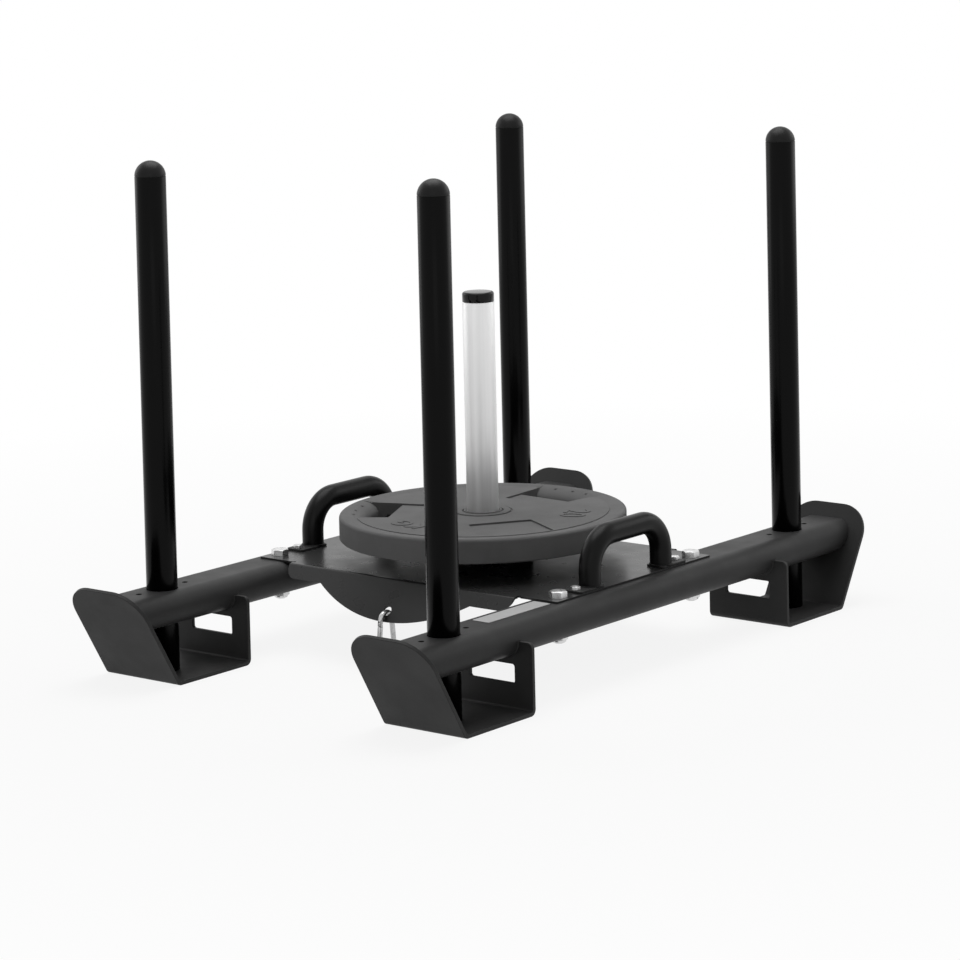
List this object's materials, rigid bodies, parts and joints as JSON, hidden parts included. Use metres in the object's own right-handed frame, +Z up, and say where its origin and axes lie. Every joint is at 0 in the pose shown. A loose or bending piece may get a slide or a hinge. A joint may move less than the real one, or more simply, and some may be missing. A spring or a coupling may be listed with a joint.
{
  "type": "push sled",
  "caption": "Push sled with two skid rails, sheet deck, loading pin holding a weight plate, four upright push poles, grab handles and a towing hook.",
  "frame": {"origin": "on the floor under the middle of the sled, on the axis of the loading pin", "axes": "+Z up, Y along the rails with the towing hook at -Y, X across the sled"},
  "size_m": [0.7088, 1.1306, 0.784],
  "materials": {
    "frame_paint": "satin dark grey powder coat",
    "pole_paint": "semi-gloss near-black powder coat",
    "chromed_steel": "polished chrome plate",
    "zinc_steel": "bright zinc plate",
    "black_plastic": "moulded, lightly grained",
    "plate_iron": "matt mid-grey enamel",
    "badge_film": "bare pale film"
  },
  "bodies": {
    "frame": {"rail_left": "frame_paint", "rail_right": "frame_paint", "shoe_front_left": "frame_paint", "shoe_front_right": "frame_paint", "shoe_rear_left": "frame_paint", "shoe_rear_right": "frame_paint", "deck": "frame_paint", "deck_bolt_front_left": "zinc_steel", "deck_nut_front_left": "zinc_steel", "deck_bolt_front_right": "zinc_steel", "deck_nut_front_right": "zinc_steel", "deck_bolt_rear_left": "zinc_steel", "deck_nut_rear_left": "zinc_steel", "deck_bolt_rear_right": "zinc_steel", "deck_nut_rear_right": "zinc_steel", "bearer_main": "frame_paint", "bearer_half_left": "frame_paint", "bearer_half_right": "frame_paint", "loading_pin": "chromed_steel", "pin_cap": "black_plastic", "handle_left": "frame_paint", "handle_right": "frame_paint", "handle_foot_front_left": "frame_paint", "handle_bolt_front_left": "zinc_steel", "rivet_nut_front_left": "zinc_steel", "handle_foot_front_right": "frame_paint", "handle_bolt_front_right": "zinc_steel", "rivet_nut_front_right": "zinc_steel", "handle_foot_rear_left": "frame_paint", "handle_bolt_rear_left": "zinc_steel", "rivet_nut_rear_left": "zinc_steel", "handle_foot_rear_right": "frame_paint", "handle_bolt_rear_right": "zinc_steel", "rivet_nut_rear_right": "zinc_steel", "badge_plate": "badge_film"},
    "plate": {"weight_plate": "plate_iron", "plate_hub": "plate_iron"},
    "pole_front_left_body": {"pole_front_left": "pole_paint", "pole_cap_front_left": "black_plastic"},
    "pole_front_right_body": {"pole_front_right": "pole_paint", "pole_cap_front_right": "black_plastic"},
    "pole_rear_left_body": {"pole_rear_left": "pole_paint", "pole_cap_rear_left": "black_plastic"},
    "pole_rear_right_body": {"pole_rear_right": "pole_paint", "pole_cap_rear_right": "black_plastic"},
    "hook": {"hook_body": "chromed_steel", "gate_pin": "zinc_steel"},
    "gate": {"hook_gate": "chromed_steel"}
  },
  "joints": [
    {"name": "plate_lift", "type": "slide", "parent": "frame", "child": "plate", "axis": [0, 0, 1], "range_m": [0, 0.385]},
    {"name": "pole_lift_front_left", "type": "slide", "parent": "frame", "child": "pole_front_left_body", "axis": [0, 0, 1], "range_m": [0, 0.13]},
    {"name": "pole_lift_front_right", "type": "slide", "parent": "frame", "child": "pole_front_right_body", "axis": [0, 0, 1], "range_m": [0, 0.13]},
    {"name": "pole_lift_rear_left", "type": "slide", "parent": "frame", "child": "pole_rear_left_body", "axis": [0, 0, 1], "range_m": [0, 0.13]},
    {"name": "pole_lift_rear_right", "type": "slide", "parent": "frame", "child": "pole_rear_right_body", "axis": [0, 0, 1], "range_m": [0, 0.13]},
    {"name": "hook_swing", "type": "hinge", "parent": "frame", "child": "hook", "pos_m": [0, -0.23609, 0.07728], "axis": [1, 0, 0], "range_deg": [-75, 75]},
    {"name": "gate_open", "type": "hinge", "parent": "hook", "child": "gate", "pos_m": [0, -0.24943, 0.0746], "axis": [1, 0, 0], "range_deg": [0, 35], "stiffness_Nm_per_rad": 0.05, "springref_deg": -20.05}
  ]
}
